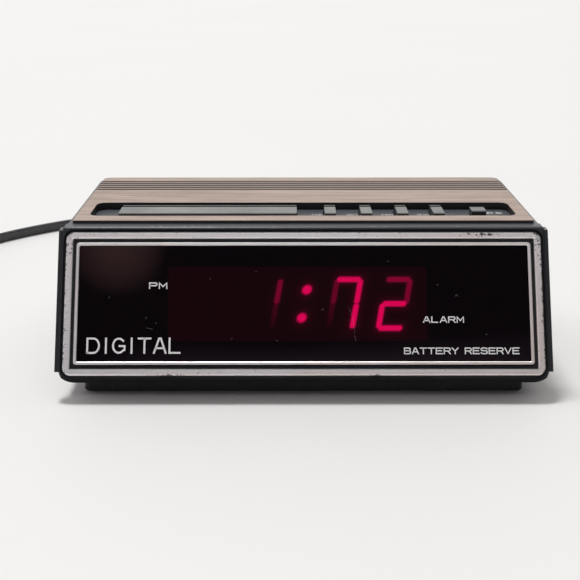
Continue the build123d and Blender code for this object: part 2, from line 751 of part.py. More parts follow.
def sounder():
    """Round sounder cup with a middle dome, standing on the base."""
    x, y, low = SOUNDER_X, SOUNDER_Y, PEDESTAL_LOW + WALL
    cup = post(x, y, low, 11, 32) - post(x, y, 8.5, 12, 27)
    return cup + post(x, y, low, 10.2, 9)


def backup_battery():
    """Nine-volt block battery with its two terminals on the front end."""
    half_x, y0, y1 = 13.1, BATTERY_REAR_Y - 50.0, BATTERY_REAR_Y - 1.5
    body = block(BATTERY_X - half_x, BATTERY_X + half_x, y0, y1, 3.2, 20.6)
    body = fillet(body.edges().filter_by(Axis.Y), 1.8)
    for x, radius in ((-6.3, 2.8), (6.3, 3.6)):
        body += Pos(BATTERY_X + x, y0 - 1.3, 11.9) * Rot(90, 0, 0) * Cylinder(radius, 2.6)
    return body


def battery_snap():
    """Snap connector over the battery's terminals, with its two leads leaving upwards."""
    y1 = BATTERY_REAR_Y - 50.0 - 0.2
    snap = block(BATTERY_X - 12.5, BATTERY_X + 12.5, y1 - 4.6, y1, 5.5, 18.3)
    return snap - backup_battery()


def wiring():
    """Short flat leads from the boards to each other and to the power parts."""
    return {
        "display_ribbon": block(-20, 8, -37.6, -36.8, MAIN_BOARD_TOP_Z, 24.5),
        "key_ribbon": block(-36, -14, 2.2, 3.4, MAIN_BOARD_TOP_Z, KEY_BOARD_TOP_Z - BOARD_THICK),
    }


# ---- cord --------------------------------------------------------------------------------------
def strain_relief():
    """Grommet clamped in the rear wall, with a ribbed, tapering sleeve round the cord."""
    x, wall, z = CORD_EXIT
    inner = Cylinder(5.4, 2.0)
    neck = Cylinder(4.1, WALL + 0.1)
    flange = Cylinder(5.4, 1.6)
    sleeve_long = RELIEF_REACH - 1.6
    sleeve = Cone(4.6, 3.3, sleeve_long)
    grommet = Pos(0, 0, -WALL - 1.05) * inner + Pos(0, 0, -WALL / 2) * neck
    grommet += Pos(0, 0, 0.85) * flange + Pos(0, 0, 1.6 + sleeve_long / 2) * sleeve
    for number in range(6):
        groove_z = 4.4 + number * 3.0
        grommet -= Pos(0, 0, groove_z) * (Cylinder(6, 1.0) - Cylinder(3.0, 2))
    return Pos(x, wall, z) * Rot(-90, 0, 0) * grommet


def cord_radii(points):
    """The largest tangent arc that each corner's two runs allow."""
    radii = []
    for before, at, after in zip(points, points[1:], points[2:]):
        arriving, leaving = Vector(*at) - Vector(*before), Vector(*after) - Vector(*at)
        turn = radians(arriving.get_angle(leaving))
        radii.append(0.45 * min(arriving.length, leaving.length) / tan(turn / 2))
    return radii


def cord_tube():
    """The cord from its strain relief to its coil, lying on the table."""
    radii = cord_radii(CORD_ROUTE)
    print("cord corner radii, mm:", [round(radius) for radius in radii])
    path = FilletPolyline(*CORD_ROUTE, radius=radii)
    start = Plane(path @ 0, z_dir=path % 0)
    tube = sweep(start * Circle(CORD_WIDE / 2), path=path)
    section = Circle(CORD_WIDE / 2).area
    ratio = tube.volume / (section * path.length)
    print("cord run, mm:", round(path.length), "volume ratio:", round(ratio, 3))
    return tube


def coil_solid():
    """Outer shape of the coil of spare cord."""
    x, y = COIL_MID
    ring = post(x, y, 0, COIL_HIGH, 2 * (COIL_RADIUS + COIL_BUNDLE_HALF))
    return ring - post(x, y, -1, COIL_HIGH + 1, 2 * (COIL_RADIUS - COIL_BUNDLE_HALF))


def cord_tail():
    """The cord's last stretch, from the coil into the plug."""
    start_y = COIL_MID[1] + 12.0
    length = PLUG_REAR_Y - start_y
    tube = Rot(90, 0, 0) * Cylinder(CORD_WIDE / 2, length)
    return Pos(PLUG_X, start_y + length / 2, COIL_HIGH / 2) * tube


def plug_body():
    """Two-pin plug lying beside the coil, with a ribbed grip."""
    front = PLUG_REAR_Y + PLUG_LONG
    body = slab(PLUG_X - 8.5, PLUG_X + 8.5, PLUG_REAR_Y, front, 0, COIL_HIGH, 2.5)
    for number in range(4):
        rib_y = PLUG_REAR_Y + 4.5 + number * 3
        for side in (-8.5, 8.5):
            x = PLUG_X + side
            body -= block(x - 0.7, x + 0.7, rib_y - 0.7, rib_y + 0.7, 1, COIL_HIGH - 1)
    return body


def plug_blades():
    front, mid_z = PLUG_REAR_Y + PLUG_LONG, COIL_HIGH / 2
    blades = []
    for side in (-6.35, 6.35):
        x = PLUG_X + side
        blade = block(x - 0.75, x + 0.75, front, front + 17, mid_z - 3.2, mid_z + 3.2)
        blade -= Pos(x, front + 13.5, mid_z) * Rot(0, 90, 0) * Cylinder(1.6, 4)
        blades.append(blade)
    return joined(blades)


# ---- assembly ----------------------------------------------------------------------------------
def key_nodes():
    """The snooze bar and the keys, each with its contact pills and its springs."""
    nodes = {}
    snooze_stems = (SNOOZE_MID_X - 26, SNOOZE_MID_X + 26)
    nodes["snooze_bar"] = sprung_key(
        SNOOZE_MID_X, KEY_MID_Y, SNOOZE_WIDTH, KEY_DEEP, snooze_stems
    )
    nodes["snooze_contacts"] = contact_pills(KEY_MID_Y, snooze_stems)
    nodes["snooze_springs"] = key_springs(KEY_MID_Y, snooze_stems)
    for name, x in zip(KEY_NAMES, key_places()):
        nodes[name] = sprung_key(x, KEY_MID_Y, KEY_WIDTH, KEY_DEEP, (x,))
        nodes[name.replace("_key", "_contact")] = contact_pills(KEY_MID_Y, (x,))
        nodes[name.replace("_key", "_spring")] = key_springs(KEY_MID_Y, (x,))
    return nodes


def display_nodes():
    nodes = {
        "hour_tens_digit": digit(HOUR_TENS_X, "bc"),
        "hour_ones_digit": digit(HOUR_ONES_X),
        "minute_tens_digit": digit(MINUTE_TENS_X),
        "minute_ones_digit": digit(MINUTE_ONES_X),
        "colon_dots": colon(),
        "indicator_dots": indicators(),
    }
    nodes["display_reflector"] = reflector(list(nodes.values()))
    nodes["display_board"] = display_board()
    nodes["display_screws"] = display_screws()
    nodes["display_mask"] = display_mask()
    return nodes


def case_nodes():
    feet = [post(x, y, 0, FOOT_HIGH, FOOT_WIDE) for x, y in foot_places()]
    return {
        "upper_case": upper_case(),
        "wood_top_panel": wood_panel(),
        "front_frame": front_frame(),
        "outer_trim": outer_trim(),
        "inner_trim": inner_trim(),
        "lens": lens(),
        "lower_case": lower_case(),
        "battery_door": battery_door(),
        "rubber_feet": joined(feet),
        "rating_plate": label(0),
        "case_screws": joined([screw(x, y, CASE_SCREW_Z, 22) for x, y in corner_places()]),
    }


def board_nodes():
    low = KEY_BOARD_TOP_Z - BOARD_THICK
    return {
        "key_board": key_board(),
        "key_board_screws": joined([screw(x, y, low, 6, 1.9, 4.4) for x, y in key_board_bosses()]),
        "slide_switch_body": switch_body(),
        "alarm_switch_knob": switch_knob(),
        "main_board": main_board(),
        "main_board_screws": joined([board_screw(x, y) for x, y in main_board_bosses()]),
        "clock_chip": clock_chip(),
        "capacitors": capacitors(),
        "resistors": lying_parts([(-32 + 4 * n, -22) for n in range(9)], 1.1, 6),
        "diodes": lying_parts([(-30 + 5 * n, 10) for n in range(4)], 1.4, 5),
        "transformer_core": transformer_core(),
        "transformer_coil": transformer_coil(),
        "sounder": sounder(),
        "backup_battery": backup_battery(),
        "battery_snap": battery_snap(),
        **wiring(),
    }


def board_screw(x, y):
    """A screw driven downwards into a main board boss."""
    return Pos(x, y, MAIN_BOARD_TOP_Z) * Rot(180, 0, 0) * screw(0, 0, 0, 8, 1.9, 4.4)


def cord_nodes():
    return {
        "strain_relief": strain_relief(),
        "cord_run": cord_tube(),
        "cord_coil": coil_solid(),
        "cord_tail": cord_tail(),
        "plug_body": plug_body(),
        "plug_blades": plug_blades(),
    }


def main():
    os.makedirs("parts", exist_ok=True)
    nodes = {**case_nodes(), **display_nodes(), **key_nodes(), **board_nodes(), **cord_nodes()}
    for name, shape in nodes.items():
        export_step(shape, f"parts/{name}.step")
    print(len(nodes), "nodes")


main()
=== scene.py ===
"""Looks of the LED alarm clock: materials, display lights, lettering, springs, cord, camera, light."""

import json
import math

import bpy
from mathutils import Euler, Matrix, Vector

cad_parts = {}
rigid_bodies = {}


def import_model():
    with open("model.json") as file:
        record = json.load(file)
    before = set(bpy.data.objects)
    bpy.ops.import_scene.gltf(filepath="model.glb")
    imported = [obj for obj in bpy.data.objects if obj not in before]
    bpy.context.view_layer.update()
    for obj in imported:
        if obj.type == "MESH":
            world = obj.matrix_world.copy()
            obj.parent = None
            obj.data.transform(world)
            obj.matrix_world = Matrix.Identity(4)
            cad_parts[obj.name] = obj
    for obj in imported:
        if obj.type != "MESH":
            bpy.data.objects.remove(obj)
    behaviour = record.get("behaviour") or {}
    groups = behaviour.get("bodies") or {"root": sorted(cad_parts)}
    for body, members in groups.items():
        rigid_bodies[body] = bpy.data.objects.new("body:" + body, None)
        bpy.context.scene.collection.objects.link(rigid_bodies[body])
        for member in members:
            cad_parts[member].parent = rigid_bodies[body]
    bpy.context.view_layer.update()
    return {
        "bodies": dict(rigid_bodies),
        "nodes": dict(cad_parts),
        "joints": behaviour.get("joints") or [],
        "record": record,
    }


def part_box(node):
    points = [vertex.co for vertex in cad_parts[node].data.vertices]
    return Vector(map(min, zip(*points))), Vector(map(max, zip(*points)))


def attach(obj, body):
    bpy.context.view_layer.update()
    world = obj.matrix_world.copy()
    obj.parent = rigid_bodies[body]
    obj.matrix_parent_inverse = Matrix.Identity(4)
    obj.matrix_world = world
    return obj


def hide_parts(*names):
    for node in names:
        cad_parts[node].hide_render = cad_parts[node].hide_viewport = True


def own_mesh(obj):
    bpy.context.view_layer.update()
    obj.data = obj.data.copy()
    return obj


MM = 0.001

# Places on the clock, in millimetres and degrees, as the part's own design has them.
LEAN = 27.0
FACE_MID = (0.0, -47.06, 35.4)
BAND_WIDTH = 186.6
WORN_SPOTS = ((72.0, 60.2), (28.0, 10.2), (-52.0, 10.4))    # across and up the silver band
LENS_FRONT = -0.5
TOP_Z = 64.0
DECK_Z, DECK_FRONT_Y = 62.8, -33.1
WELL_FLOOR_Z = 61.0
VENT_FIRST_Y, VENT_LAST_Y = 30.0, 49.6     # the grooved stretch of the wood panel
KEY_STRIP_Y = -3.6                         # behind this, the strip at the rear of every key
DIGIT_HEIGHT, DIGIT_WIDTH, SEGMENT = 21.6, 11.5, 2.2
DIGIT_SLANT = 10.5
DIGIT_SHIFT = 0.8
SEGMENT_GAP = 1.0                          # a segment's light ends this short of its corners
MODULE_MID_X, MODULE_WIDTH, MODULE_HEIGHT = -2.4, 102.0, 29.6
FILM_FRONT, FILM_STEP = -5.42, 0.45
HOUR_ONES_X, COLON_X, MINUTE_TENS_X, MINUTE_ONES_X = -15.4, 0.3, 16.2, 35.8
COLON_RISE, COLON_RADIUS, COLON_REACH = 5.6, 1.9, 8.0

# How bright each segment is: the display was caught between two refreshes.
HOUR_LIGHTS = {"b": 0.22, "c": 0.06}
MINUTE_TENS_LIGHTS = {"a": 0.95, "b": 0.95, "c": 1.0, "f": 0.16, "e": 0.06}
MINUTE_ONES_LIGHTS = {"a": 0.30, "b": 0.24, "g": 1.0, "e": 1.0, "d": 1.0}
FAINT = 0.1                # fainter segments than this fade out towards their feet
FILM_GLOW = 0.007          # stray light all over the film in front of the display
CORE_EDGE = 0.62           # the share of a light's half width where its bright core starts to fade
HALO_LEVEL, HALO_REACH = 0.05, 1.1
LED_COLOUR = (1.0, 0.0, 0.42)
LED_POWER = 4.6

# The keys' return springs, each between the key board and a key's flange.
SPRING_RADIUS, SPRING_WIRE, SPRING_TURNS = 2.0, 0.35, 4

# The mains cord: the route's points are the part's own.
REAR_Y = 61.0
CORD_WIDE, CORD_THICK = 5.6, 2.8
CORD_LIE_Z = CORD_WIDE / 2
CORD_ROUTE = (
    (-60.0, REAR_Y + 23.0, 16.0),
    (-59.5, REAR_Y + 38.0, 14.6),
    (-58.0, REAR_Y + 60.0, 7.6),
    (-54.0, REAR_Y + 88.0, CORD_LIE_Z),
    (-52.0, REAR_Y + 116.0, CORD_LIE_Z),
    (-59.0, REAR_Y + 146.0, CORD_LIE_Z),
    (-81.0, REAR_Y + 166.0, CORD_LIE_Z),
    (-111.0, REAR_Y + 169.0, CORD_LIE_Z),
    (-138.0, REAR_Y + 155.5, CORD_LIE_Z),
    (-159.0, REAR_Y + 138.0, CORD_LIE_Z),
    (-177.0, REAR_Y + 118.0, CORD_LIE_Z),
    (-192.0, REAR_Y + 94.0, CORD_LIE_Z),
)
COIL_MID = (-222.0, REAR_Y + 108.0)
COIL_COLUMNS = (35.6, 32.5, 29.4, 26.3)
COIL_LAYER = 5.8
COIL_START, COIL_TURNS, COIL_STEPS = -25.0, 6.43, 16
COIL_HOLD, COIL_SHIFT = 0.55, 0.45         # the shares of a turn that keep its place and change it
PLUG_X, PLUG_REAR_Y = COIL_MID[0] - 33.0, COIL_MID[1] + 28.0
CORD_TAIL = (
    (PLUG_X - 0.6, COIL_MID[1] + 14, 7.4),
    (PLUG_X, PLUG_REAR_Y - 5, 6.0),
    (PLUG_X, PLUG_REAR_Y + 1.5, 5.8),
)

# Light: a broad soft light overhead, a pale room behind and at the sides, and a dark one in front,
# with a bright panel high up, a pale band low down and a pale wall far to the left.
ROOM_BEHIND, ROOM_LEFT, ROOM_RIGHT, LEFT_WALL = 0.90, 0.34, 0.34, 0.40
FRONT_LOW, FRONT_PANEL, SKIRTING = 0.070, 1.08, 0.55
PANEL_SPILL = 0.1                          # what is left of the panel's light beyond its edges
SUN_FROM, SUN_POWER, SUN_WIDE = (-0.14, 0.32, 0.94), 2.05, 13.0

# Where the parts of the room blend, in shares of a direction: X right, Y to the rear, Z up.
BEHIND_Y_BLEND = (0.0, 0.25)
RIGHT_X_BLEND, LEFT_X_BLEND = (0.2, 0.9), (-0.9, -0.3)
LEFT_WALL_X_BLEND = (-0.92, -0.80)
PANEL_Z_START, PANEL_Z_END, PANEL_X_END = (0.66, 0.72), (0.84, 0.94), (0.35, 0.60)
SKIRTING_Z_END = (0.17, 0.36)
PALE_TINT, DARK_TINT, WARM_TINT = (1.0, 0.99, 0.975), (0.95, 0.78, 1.0), (1.0, 0.60, 0.62)

# What the lens mirrors: where each light is, and how nearly a direction has to point at it.
WARM_AIM, WARM_NEAR, WARM_POWER = (-0.150, -0.770, 0.620), (0.9991, 1.0), 0.50
GREY_AIM, GREY_NEAR, GREY_POWER = (0.04, -0.85, 0.50), (0.975, 0.998), 0.34
GREY_Z_END = (0.528, 0.556)

FLOOR_REACH = 60                           # metres each way, so that its edge is at the horizon

CAMERA_AT = (-6.25, -462.2, 170.8)
CAMERA_DOWN, CAMERA_RIGHT = 17.354, 0.122
CAMERA_LENS, CAMERA_SENSOR = 69.5, 36
CAMERA_NEAR, CAMERA_FAR = 0.01, 200        # metres


# ---- shader building ---------------------------------------------------------------------------
class Nodes:
    """A node tree with short ways to add to it."""

    def __init__(self, tree):
        self.nodes = tree.nodes
        self.links = tree.links

    def node(self, kind, **settings):
        """A new node with its settings."""
        node = self.nodes.new(kind)
        for name, value in settings.items():
            setattr(node, name, value)
        return node

    def link(self, source, target):
        self.links.new(source, target)

    def ramp(self, value, low, high, start=0.0, end=1.0):
        """value taken from low..high to start..end, held at the ends."""
        ramp = self.node("ShaderNodeMapRange")
        for name, number in zip(("From Min", "From Max", "To Min", "To Max"), (low, high, start, end)):
            ramp.inputs[name].default_value = number
        self.link(value, ramp.inputs["Value"])
        return ramp.outputs["Result"]

    def maths(self, operation, first, second=0.0):
        """A sum, product or the like of two values, each a number or a socket."""
        node = self.node("ShaderNodeMath", operation=operation)
        for socket, value in zip(node.inputs, (first, second)):
            if isinstance(value, (int, float)):
                socket.default_value = value
            else:
                self.link(value, socket)
        return node.outputs["Value"]

    def mix(self, amount, first, second):
        """A colour between two, each a tuple or a socket."""
        node = self.node("ShaderNodeMix", data_type="RGBA")
        self.link(amount, node.inputs["Factor"])
        for socket, value in zip(node.inputs[6:8], (first, second)):       # its two colour inputs
            if isinstance(value, tuple):
                socket.default_value = (*value, 1)
            else:
                self.link(value, socket)
        return node.outputs[2]

    def axes(self, vector):
        """The three parts of a vector, by name."""
        split = self.node("ShaderNodeSeparateXYZ")
        self.link(vector, split.inputs["Vector"])
        return split.outputs


class Finish(Nodes):
    """A material with one Principled shader and a few ways to vary it."""

    def __init__(self, name, colour, roughness, **sockets):
        self.material = bpy.data.materials.new(name)
        self.material.use_nodes = True
        super().__init__(self.material.node_tree)
        self.shader = self.nodes["Principled BSDF"]
        self.shader.inputs["Base Color"].default_value = (*colour, 1)
        self.shader.inputs["Roughness"].default_value = roughness
        for socket, value in sockets.items():
            self.shader.inputs[socket.replace("_", " ")].default_value = value

    def noise(self, scale, stretch=(1, 1, 1), detail=4.0, rough=0.55):
        """Noise in the object's own coordinates, stretched per axis."""
        texture = self.node("ShaderNodeTexCoord")
        mapping = self.node("ShaderNodeMapping")
        mapping.inputs["Scale"].default_value = stretch
        self.link(texture.outputs["Object"], mapping.inputs["Vector"])
        noise = self.node("ShaderNodeTexNoise")
        noise.inputs["Scale"].default_value = scale
        noise.inputs["Detail"].default_value = detail
        noise.inputs["Roughness"].default_value = rough
        self.link(mapping.outputs["Vector"], noise.inputs["Vector"])
        return noise.outputs["Fac"]

    def colour(self, value):
        self.link(value, self.shader.inputs["Base Color"])
        return self

    def roughness(self, value):
        self.link(value, self.shader.inputs["Roughness"])
        return self

    def axis(self, name):
        """One coordinate of the surface point, in metres."""
        return self.axes(self.node("ShaderNodeTexCoord").outputs["Object"])[name]

    def normal_axis(self, name):
        """One part of the direction in which the surface faces, from -1 to 1."""
        return self.axes(self.node("ShaderNodeNewGeometry").outputs["Normal"])[name]

    def surface(self, height, distance, strength=0.5, edge=0.0):
        """Bump from a height, over edges rounded by that many metres."""
        bump = self.node("ShaderNodeBump")
        bump.inputs["Distance"].default_value = distance
        bump.inputs["Strength"].default_value = strength
        self.link(height, bump.inputs["Height"])
        if edge:
            bevel = self.node("ShaderNodeBevel", samples=4)
            bevel.inputs["Radius"].default_value = edge
            self.link(bevel.outputs["Normal"], bump.inputs["Normal"])
        self.link(bump.outputs["Normal"], self.shader.inputs["Normal"])
        return self

    def pebbled(self, edge):
        """The fine pebble of a moulded surface, over rounded edges."""
        return self.surface(self.noise(900, detail=2), 0.02 * MM, 0.35, edge)


# ---- materials ---------------------------------------------------------------------------------
def moulded(name, colour, roughness, edge=0.35 * MM, dust_and_top_light=None):
    """Moulded plastic: a fine pebble, uneven gloss and dust; given a top tone, it is greyed where it
    faces up (dust and painted top light) and darkened where it faces down (painted shade).
    """
    finish = Finish(name, colour, roughness, Specular_IOR_Level=0.2 if dust_and_top_light else 0.5)
    handled = finish.noise(24, detail=6)
    dust = finish.ramp(finish.noise(70, detail=8, rough=0.7), 0.56, 0.80)
    pale = tuple(min(1.0, part * 1.4 + 0.012) for part in colour)
    tone = finish.mix(dust, colour, pale)
    if dust_and_top_light:
        facing = finish.normal_axis("Z")
        # Painted shade: faces that point down are darkened to a third of the colour.
        under = tuple(part * 0.3 for part in colour)
        tone = finish.mix(finish.ramp(facing, -0.5, 0.0), under, tone)
        # Faces that point up are greyed towards the top tone: partly settled dust, partly painted
        # light from above.
        tone = finish.mix(finish.ramp(facing, 0.25, 0.98), tone, dust_and_top_light)
    finish.colour(tone)
    finish.roughness(finish.ramp(handled, 0.3, 0.7, roughness * 0.75, roughness * 1.25))
    return finish.pebbled(edge).material


def key_plastic():
    """Grey key plastic, darker along the strip at the rear of each key, with painted shade on its
    sides.
    """
    clean, rubbed = (0.185, 0.188, 0.182), (0.140, 0.144, 0.144)
    dark_strip, painted_side_shade = (0.062, 0.066, 0.068), (0.030, 0.031, 0.033)
    finish = Finish("key_plastic", (0.165, 0.168, 0.165), 0.42)
    handled = finish.noise(60, detail=6)
    top = finish.mix(finish.ramp(handled, 0.35, 0.7), clean, rubbed)
    strip = finish.ramp(finish.axis("Y"), KEY_STRIP_Y * MM, (KEY_STRIP_Y + 0.2) * MM)
    top = finish.mix(strip, top, dark_strip)
    # Painted shade: the sides and fronts of the keys, which face away from the light above, are darker
    # than their tops.
    finish.colour(finish.mix(finish.ramp(finish.normal_axis("Z"), 0.3, 0.9), painted_side_shade, top))
    finish.roughness(finish.ramp(handled, 0.3, 0.7, 0.36, 0.50))
    return finish.pebbled(0.15 * MM).material


def wood_foil():
    """Printed wood-grain foil on a black moulding, dark at its sides; painted shade makes it browner
    over its grooves and darker below its top.
    """
    brown, tan = (0.205, 0.132, 0.100), (0.470, 0.350, 0.285)
    thread, pore, cloud = (0.165, 0.106, 0.078), (0.100, 0.064, 0.048), (0.400, 0.320, 0.260)
    groove_shade, sunken_shade = (0.115, 0.076, 0.062), (0.070, 0.050, 0.040)
    black_flank, brown_flank = (0.014, 0.012, 0.012), (0.150, 0.105, 0.085)
    finish = Finish("wood_foil", (0.36, 0.29, 0.23), 0.42)
    streaks = finish.noise(40, (0.8, 24, 1), detail=9, rough=0.66)
    threads = finish.noise(95, (1.0, 34, 1), detail=6, rough=0.75)
    pores = finish.noise(210, (1.0, 22, 1), detail=4, rough=0.7)
    clouds = finish.noise(11, (0.8, 3, 1))
    grain = finish.mix(finish.ramp(streaks, 0.38, 0.60), brown, tan)
    grain = finish.mix(finish.ramp(threads, 0.50, 0.64, 0, 0.65), grain, thread)
    grain = finish.mix(finish.ramp(pores, 0.60, 0.70, 0, 0.65), grain, pore)
    grain = finish.mix(finish.ramp(clouds, 0.42, 0.68, 0, 0.40), grain, cloud)
    along = finish.axis("Y")
    grooved = finish.maths(
        "MULTIPLY",
        finish.ramp(along, (VENT_FIRST_Y - 0.2) * MM, VENT_FIRST_Y * MM),
        finish.ramp(along, VENT_LAST_Y * MM, (VENT_LAST_Y + 0.2) * MM, 1, 0),
    )
    # Painted shade: the grooved stretch, ridges included, is darkened towards brown, as the grooves'
    # shadows would make it.
    grain = finish.mix(finish.maths("MULTIPLY", grooved, 0.62), grain, groove_shade)
    # Painted shade: all that lies below the top surface, such as the groove bottoms, is darkened.
    raised = finish.ramp(finish.axis("Z"), (TOP_Z - 0.9) * MM, (TOP_Z - 0.2) * MM)
    grain = finish.mix(raised, sunken_shade, grain)
    flank = finish.mix(grooved, black_flank, brown_flank)
    on_top = finish.ramp(finish.normal_axis("Z"), 0.6, 0.9)
    finish.colour(finish.mix(on_top, flank, grain))
    finish.roughness(finish.ramp(streaks, 0.3, 0.7, 0.38, 0.52))
    return finish.surface(threads, 0.03 * MM, 0.4, 0.2 * MM).material


def brushed_trim(name, worn):
    """Brushed silver foil over black plastic; worn, it is rubbed through at corners and edges."""
    silver, warm_silver, brushed = (0.96, 0.94, 0.94), (0.93, 0.85, 0.80), (0.66, 0.65, 0.66)
    bare_plastic = (0.03, 0.03, 0.034)
    finish = Finish(name, (0.86, 0.85, 0.85), 0.46, Metallic=1.0)
    brush = finish.noise(1500, (0.03, 1, 1), detail=2)
    tarnish = finish.noise(14, detail=3)
    foil = finish.mix(finish.ramp(tarnish, 0.40, 0.68), silver, warm_silver)
    foil = finish.mix(finish.ramp(brush, 0.45, 0.75, 0, 0.35), foil, brushed)
    if worn:
        rubbed = rubbed_through(finish)
        foil = finish.mix(rubbed, foil, bare_plastic)
        finish.link(finish.ramp(rubbed, 0, 1, 1, 0), finish.shader.inputs["Metallic"])
    finish.colour(foil)
    finish.roughness(finish.ramp(brush, 0.3, 0.7, 0.38, 0.54))
    return finish.surface(brush, 0.008 * MM, 0.25, 0.10 * MM).material


def rubbed_through(finish):
    """How far the foil is gone: on its upper edge, at its upper corners, sides and a few spots."""
    half = BAND_WIDTH / 2
    side = finish.maths("ABSOLUTE", finish.axis("X"))
    speckle = finish.noise(700, detail=5, rough=0.8)
    corner = finish.maths(
        "MULTIPLY",
        finish.ramp(side, (half - 7) * MM, (half - 1) * MM, 0, 0.10),
        finish.ramp(finish.axis("Z"), 48 * MM, 58 * MM),
    )
    flank = finish.ramp(side, (half - 1.6) * MM, (half - 0.4) * MM, 0, 0.05)
    outwards = finish.maths("MULTIPLY", finish.axis("X"), finish.normal_axis("X"))
    side_edge = finish.ramp(outwards, 0.02, 0.05, 0, 0.12)
    top_edge = finish.ramp(finish.normal_axis("Z"), 0.55, 0.85, 0, 0.60)
    worn = corner
    for wear in (flank, top_edge, side_edge):
        worn = finish.maths("MAXIMUM", worn, wear)
    for at_x, at_z in WORN_SPOTS:
        worn = finish.maths("MAXIMUM", worn, worn_spot(finish, at_x, at_z))
    return finish.ramp(finish.maths("ADD", speckle, worn), 0.62, 0.68)


def worn_spot(finish, at_x, at_z):
    """Wear round one place on the band, stronger nearer to it."""
    away_x = finish.maths("ABSOLUTE", finish.maths("SUBTRACT", finish.axis("X"), at_x * MM))
    away_z = finish.maths("ABSOLUTE", finish.maths("SUBTRACT", finish.axis("Z"), at_z * MM))
    near_x = finish.ramp(away_x, 2 * MM, 9 * MM, 0.2, 0)
    return finish.maths("MULTIPLY", near_x, finish.ramp(away_z, 0, 1.2 * MM, 1, 0))


def red_lens():
    """Polished dark red plastic that lets only the lights behind it through."""
    finish = Finish("red_lens", (0.16, 0.012, 0.045), 0.03, IOR=1.49, Transmission_Weight=1.0)
    smears = finish.noise(26, detail=6)
    finish.roughness(finish.ramp(smears, 0.45, 0.75, 0.02, 0.07))
    return finish.material


def led_light():
    """Lit segments, as bright as their own corners say, on a nearly black red block."""
    finish = Finish("led_light", (0.05, 0.006, 0.012), 0.5, Emission_Strength=LED_POWER)
    lit = finish.node("ShaderNodeAttribute", attribute_name="lit")
    colour = finish.mix(lit.outputs["Fac"], (0.0, 0.0, 0.0), LED_COLOUR)
    finish.link(colour, finish.shader.inputs["Emission Color"])
    return finish.material


def printed(name, colour):
    """Screen-printed ink, slightly uneven."""
    finish = Finish(name, colour, 0.55)
    uneven = finish.noise(900, detail=3)
    worn = tuple(part * 0.86 for part in colour)
    return finish.colour(finish.mix(finish.ramp(uneven, 0.45, 0.7), colour, worn)).material


def metal(name, colour, roughness):
    """Plain metal with faint marks, duller in places."""
    finish = Finish(name, colour, roughness, Metallic=1.0)
    marks = finish.noise(300, (1, 1, 0.2), detail=5)
    dark = tuple(part * 0.7 for part in colour)
    finish.colour(finish.mix(finish.ramp(marks, 0.4, 0.7), colour, dark))
    return finish.surface(marks, 0.01 * MM, 0.3).material


def circuit_board():
    """Tan phenolic board with darker fibres."""
    finish = Finish("circuit_board", (0.36, 0.22, 0.09), 0.5)
    fibres = finish.noise(300, (1, 0.3, 1), detail=5)
    tan, brown = (0.42, 0.27, 0.11), (0.26, 0.15, 0.06)
    finish.colour(finish.mix(finish.ramp(fibres, 0.35, 0.7), tan, brown))
    return finish.surface(fibres, 0.02 * MM, 0.3).material


def floor_finish():
    """A pale, matt, very slightly uneven table top."""
    finish = Finish("floor", (0.76, 0.755, 0.745), 0.6)
    cloud = finish.noise(3, detail=3)
    finish.colour(finish.mix(cloud, (0.775, 0.770, 0.760), (0.745, 0.738, 0.725)))
    return finish.material


def cord_finish():
    """Flexible vinyl: dark grey with a soft, uneven sheen."""
    finish = Finish("cord_vinyl", (0.045, 0.046, 0.05), 0.42)
    skin = finish.noise(260, detail=5)
    dark, dusty = (0.040, 0.041, 0.045), (0.075, 0.076, 0.08)
    finish.colour(finish.mix(finish.ramp(skin, 0.4, 0.75), dark, dusty))
    finish.roughness(finish.ramp(skin, 0.3, 0.7, 0.34, 0.52))
    return finish.surface(skin, 0.02 * MM, 0.35).material


STEEL, STEEL_ROUGHNESS = (0.62, 0.62, 0.63), 0.28
# Grey of faces that point up: settled dust and painted top light.
DUST_AND_TOP_LIGHT = (0.078, 0.083, 0.090)


def dress(nodes, material, *names):
    """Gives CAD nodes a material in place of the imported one."""
    for name in names:
        mesh = nodes[name].data
        mesh.materials.clear()
        mesh.materials.append(material)


